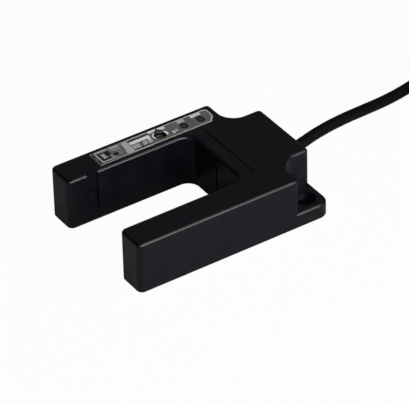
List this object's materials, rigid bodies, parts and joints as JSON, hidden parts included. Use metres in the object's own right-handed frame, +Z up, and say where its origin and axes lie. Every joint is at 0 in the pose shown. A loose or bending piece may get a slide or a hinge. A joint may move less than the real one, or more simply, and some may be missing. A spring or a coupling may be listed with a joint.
{
  "type": "fork sensor",
  "caption": "Compact U-shaped light barrier with a beam across its gap, drilled ears at the back, a label with an adjuster and indicators on one arm, and a fixed cable.",
  "frame": {"origin": "middle of the housing's bottom face, on the surface that it is fixed to", "axes": "+X across the fork, from the arm with the label to the bare arm; +Y along the arms, from their tips to the cable; +Z up, out of the label"},
  "size_m": [0.0631, 0.1959, 0.0187],
  "materials": {
    "housing": "satin moulded plastic",
    "cover": "fine grained moulded plastic",
    "label": "printed satin film",
    "adjuster": "turned, slotted",
    "adjuster_base": "moulded",
    "indicator_green": "clear tinted, unlit",
    "indicator_red": "clear tinted, unlit",
    "chip_led": "cast",
    "beam_lens": "polished, passes infrared",
    "clear_package": "cast, clear",
    "dark_package": "cast, dark",
    "board": "solder mask",
    "chip": "moulded",
    "capacitor": "drawn can",
    "resistor": "ceramic",
    "grommet": "moulded",
    "brown_wire": "insulated wire",
    "black_wire": "insulated wire",
    "blue_wire": "insulated wire",
    "cable": "extruded sheath",
    "tie": "moulded band"
  },
  "bodies": {
    "body": {"housing": "housing", "bottom_cover": "cover", "label_plate": "label", "adjuster_base": "adjuster_base", "front_indicator_lens": "indicator_green", "rear_indicator_lens": "indicator_red", "front_indicator_led": "chip_led", "rear_indicator_led": "chip_led", "emitter_lens": "beam_lens", "receiver_lens": "beam_lens", "emitter_led": "clear_package", "receiver_diode": "dark_package", "circuit_board": "board", "amplifier_chip": "chip", "output_transistor": "chip", "smoothing_capacitor": "capacitor", "chip_resistors": "resistor", "cable_grommet": "grommet", "brown_conductor": "brown_wire", "black_conductor": "black_wire", "blue_conductor": "blue_wire", "cable": "cable", "cable_coil": "cable", "coil_tie": "tie", "brown_lead": "brown_wire", "black_lead": "black_wire", "blue_lead": "blue_wire"},
    "adjuster": {"adjuster_screw": "adjuster"}
  },
  "joints": [
    {"name": "adjuster_turn", "type": "hinge", "parent": "body", "child": "adjuster", "pos_m": [-0.02, 0.0017, 0.0178], "axis": [0, 0, 1], "range_deg": [-120, 120]}
  ]
}
